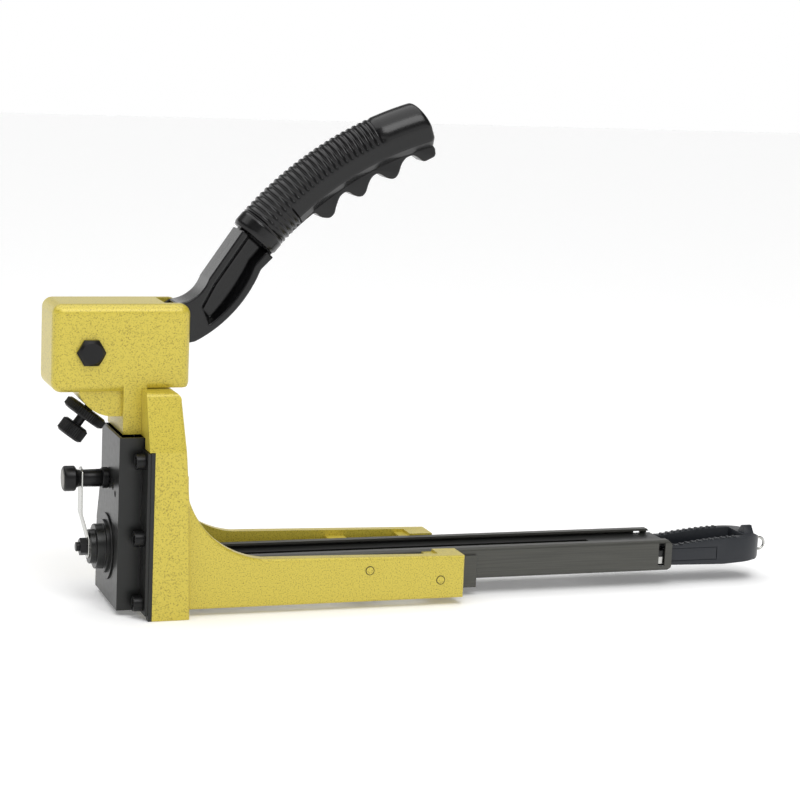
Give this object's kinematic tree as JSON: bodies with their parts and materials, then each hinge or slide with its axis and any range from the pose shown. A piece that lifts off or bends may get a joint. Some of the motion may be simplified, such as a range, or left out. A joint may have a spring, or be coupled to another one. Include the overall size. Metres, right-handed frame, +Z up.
{
  "type": "manual carton closing stapler",
  "caption": "Hand-lever stapler for closing carton tops with wide-crown staples: cast body, long magazine with pull-out drawer, curved grip, curving clinchers.",
  "frame": {"origin": "on the foot's flat underside, midway between its sides and between its front and rear edges", "axes": "+X rearwards along the magazine towards the tail, +Y across towards the pivot nut's side, +Z up"},
  "size_m": [0.5125, 0.1, 0.3238],
  "materials": {
    "gold_paint": "gold-yellow hammertone paint, semi-gloss",
    "black_steel": "satin",
    "lever_paint": "gloss",
    "grip_plastic": "gloss",
    "black_fastener": "satin",
    "knurled_steel": "satin",
    "rail_steel": "satin",
    "bright_steel": "satin",
    "pin_steel": "satin",
    "tail_plastic": "satin",
    "pusher_steel": "satin"
  },
  "bodies": {
    "frame": {"body_casting": "gold_paint", "head_housing": "gold_paint", "nose_cover": "black_steel", "back_plate": "black_steel", "hub_bearing": "black_steel", "pivot_bolt": "black_fastener", "pivot_washer": "black_fastener", "pivot_nut": "black_fastener", "head_screw_left": "black_fastener", "head_screw_right": "black_fastener", "cover_screw_left_1": "black_fastener", "cover_screw_left_2": "black_fastener", "cover_screw_left_3": "black_fastener", "cover_screw_right_1": "black_fastener", "cover_screw_right_2": "black_fastener", "cover_screw_right_3": "black_fastener", "rail_left": "rail_steel", "rail_right": "rail_steel", "rail_clip_left": "rail_steel", "rail_clip_right": "rail_steel", "pivot_bush_left": "bright_steel", "pivot_bush_right": "bright_steel", "return_spring_left": "bright_steel", "return_spring_right": "bright_steel", "arm_pin_left_1": "pin_steel", "arm_pin_left_2": "pin_steel", "arm_pin_right_1": "pin_steel", "arm_pin_right_2": "pin_steel"},
    "lever": {"lever_arm": "lever_paint", "grip": "grip_plastic", "drive_pin": "bright_steel"},
    "driver": {"driver_block": "bright_steel", "driver_blade": "bright_steel"},
    "adjuster": {"eccentric_hub": "black_steel", "hub_stud": "black_fastener", "hub_nut": "black_fastener", "leaf_strap": "bright_steel"},
    "index": {"index_knob": "knurled_steel", "index_pin": "bright_steel"},
    "carrier": {"clincher_carrier": "bright_steel", "claw_pin_left": "bright_steel", "claw_pin_right": "bright_steel"},
    "claw_left": {"clincher_left": "bright_steel"},
    "claw_right": {"clincher_right": "bright_steel"},
    "stop_screw": {"stop_stud": "black_fastener"},
    "stop_knob": {"stop_knob": "knurled_steel"},
    "lock_nut": {"lock_nut": "knurled_steel"},
    "drawer": {"staple_core": "rail_steel", "tail_grip": "tail_plastic", "wire_loop": "bright_steel", "feed_spring": "bright_steel"},
    "latch_left": {"latch_left": "tail_plastic"},
    "latch_right": {"latch_right": "tail_plastic"},
    "pusher": {"pusher": "pusher_steel"}
  },
  "joints": [
    {"name": "lever_swing", "type": "hinge", "parent": "frame", "child": "lever", "pos_m": [-0.048, 0, 0.1658], "axis": [0, 1, 0], "range_deg": [0, 40], "stiffness_Nm_per_rad": 2, "springref_deg": -34.38, "deforming": ["return_spring_left", "return_spring_right"]},
    {"name": "driver_slide", "type": "slide", "parent": "frame", "child": "driver", "axis": [0, 0, -1], "range_m": [0, 0.0295]},
    {"name": "adjuster_turn", "type": "hinge", "parent": "frame", "child": "adjuster", "pos_m": [-0.031, 0, 0.0375], "axis": [1, 0, 0], "range_deg": [-20, 30]},
    {"name": "index_pull", "type": "slide", "parent": "adjuster", "child": "index", "axis": [-1, 0, 0], "range_m": [0, 0.004], "stiffness_N_per_m": 600, "springref_m": -0.002, "deforming": ["leaf_strap"]},
    {"name": "carrier_slide", "type": "slide", "parent": "frame", "child": "carrier", "axis": [0, 0, 1], "range_m": [-0.0014, 0.0021]},
    {"name": "claw_left_swing", "type": "hinge", "parent": "carrier", "child": "claw_left", "pos_m": [-0.023, 0.014, 0.012], "axis": [-1, 0, 0], "range_deg": [0, 70.01]},
    {"name": "claw_right_swing", "type": "hinge", "parent": "carrier", "child": "claw_right", "pos_m": [-0.023, -0.014, 0.012], "axis": [1, 0, 0], "range_deg": [0, 70.01]},
    {"name": "stop_slide", "type": "slide", "parent": "frame", "child": "stop_screw", "axis": [0.5878, 0, 0.809], "range_m": [-0.00125, 0.00125]},
    {"name": "stop_knob_spin", "type": "hinge", "parent": "stop_screw", "child": "stop_knob", "pos_m": [-0.05424, 0, 0.11368], "axis": [0.5878, 0, 0.809], "range_deg": [-375, 375]},
    {"name": "lock_nut_spin", "type": "hinge", "parent": "frame", "child": "lock_nut", "pos_m": [-0.0466, 0, 0.1242], "axis": [0.5878, 0, 0.809], "range_deg": [0, 180]},
    {"name": "drawer_slide", "type": "slide", "parent": "frame", "child": "drawer", "axis": [1, 0, 0], "range_m": [0, 0.2]},
    {"name": "latch_left_press", "type": "slide", "parent": "drawer", "child": "latch_left", "axis": [0, -1, 0], "range_m": [0, 0.0012], "stiffness_N_per_m": 1500, "springref_m": -0.001},
    {"name": "latch_right_press", "type": "slide", "parent": "drawer", "child": "latch_right", "axis": [0, 1, 0], "range_m": [0, 0.0012], "stiffness_N_per_m": 1500, "springref_m": -0.001},
    {"name": "pusher_slide", "type": "slide", "parent": "drawer", "child": "pusher", "axis": [1, 0, 0], "range_m": [0, 0.25], "stiffness_N_per_m": 20, "springref_m": -0.1, "deforming": ["feed_spring"]}
  ],
  "couplings": [
    {"joint": "driver_slide", "follows": "lever_swing", "m_per_rad": 0.042132},
    {"joint": "claw_left_swing", "follows": "lever_swing", "ratio": 1.75},
    {"joint": "claw_right_swing", "follows": "lever_swing", "ratio": 1.75},
    {"joint": "carrier_slide", "follows": "adjuster_turn", "m_per_rad": 0.004},
    {"joint": "stop_knob_spin", "follows": "stop_slide", "rad_per_m": 5026.6}
  ]
}
